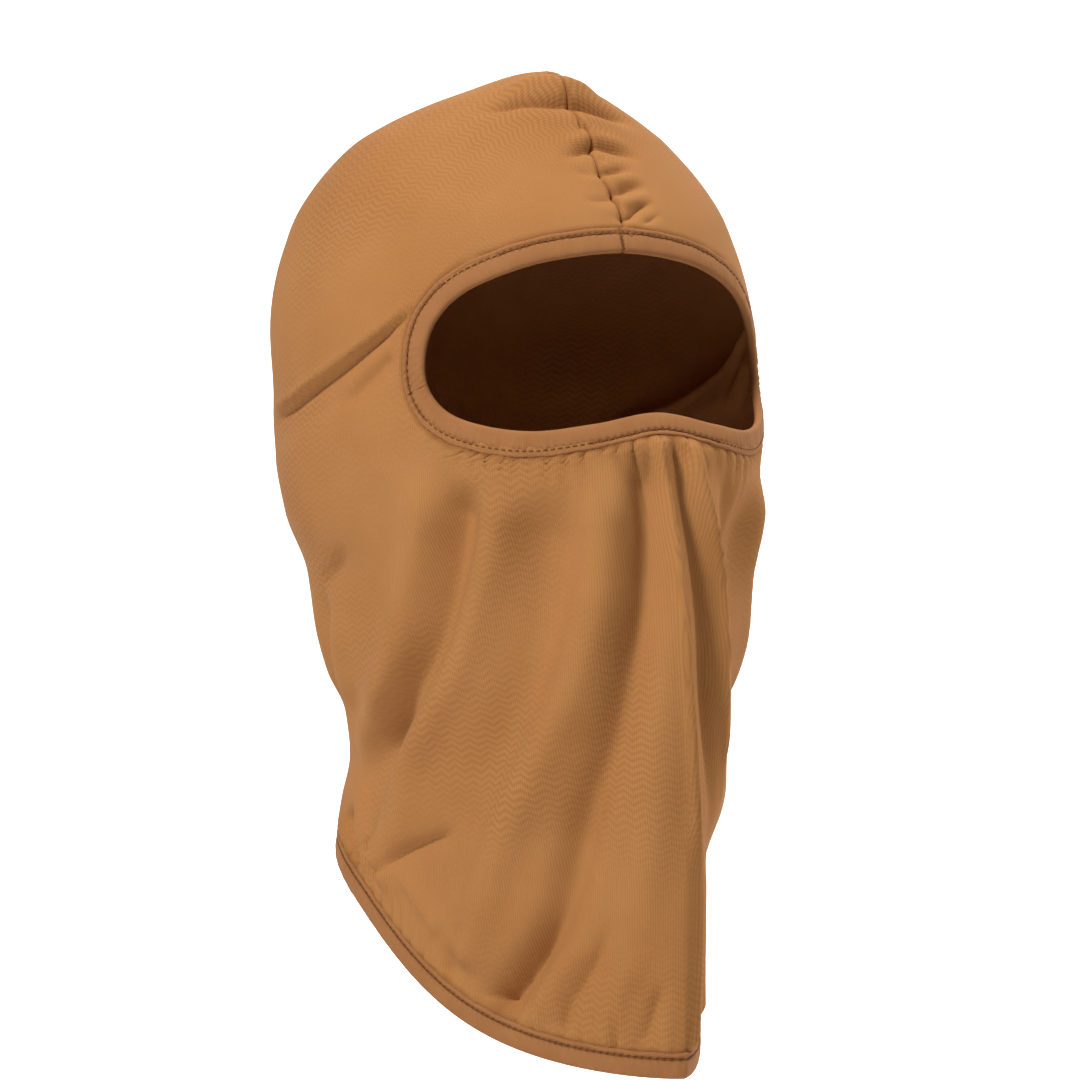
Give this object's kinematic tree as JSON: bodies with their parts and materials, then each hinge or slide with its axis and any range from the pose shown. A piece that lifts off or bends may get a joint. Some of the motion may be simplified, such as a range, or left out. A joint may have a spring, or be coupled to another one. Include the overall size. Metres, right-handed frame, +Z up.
{
  "type": "knit balaclava",
  "caption": "Stretch-knit hood that covers the head, face and neck, with a wide bound eye opening and a bound hem that hangs lower in front.",
  "frame": {"origin": "inside top of the crown, where the wearer's head carries the hood", "axes": "+Z up along the worn hood, the face looks towards -Y, +X is the wearer's left"},
  "size_m": [0.156, 0.233, 0.329],
  "materials": {
    "knit": "coyote-tan polyester and elastane jersey, matte with a soft sheen",
    "binding": "the same jersey folded over the edges, matte",
    "elastic": "flat natural elastic tape, matte",
    "thread": "polyester sewing thread, a little darker than the knit"
  },
  "bodies": {
    "hood": {"hood_body": "knit", "eye_binding_upper": "binding", "eye_elastic_upper": "elastic", "eye_topstitch_upper": "thread", "neck_binding": "binding", "neck_elastic": "elastic", "neck_topstitch": "thread", "crown_seam_thread": "thread", "back_seam_thread": "thread", "brow_join_thread": "thread", "nape_join_thread": "thread"},
    "face_edge": {"eye_binding_lower": "binding", "eye_elastic_lower": "elastic", "eye_topstitch_lower": "thread"}
  },
  "joints": [
    {"name": "face_edge_pull", "type": "slide", "parent": "hood", "child": "face_edge", "axis": [0, 0.3, -0.9539], "range_m": [0, 0.08], "deforming": ["hood_body"]}
  ]
}
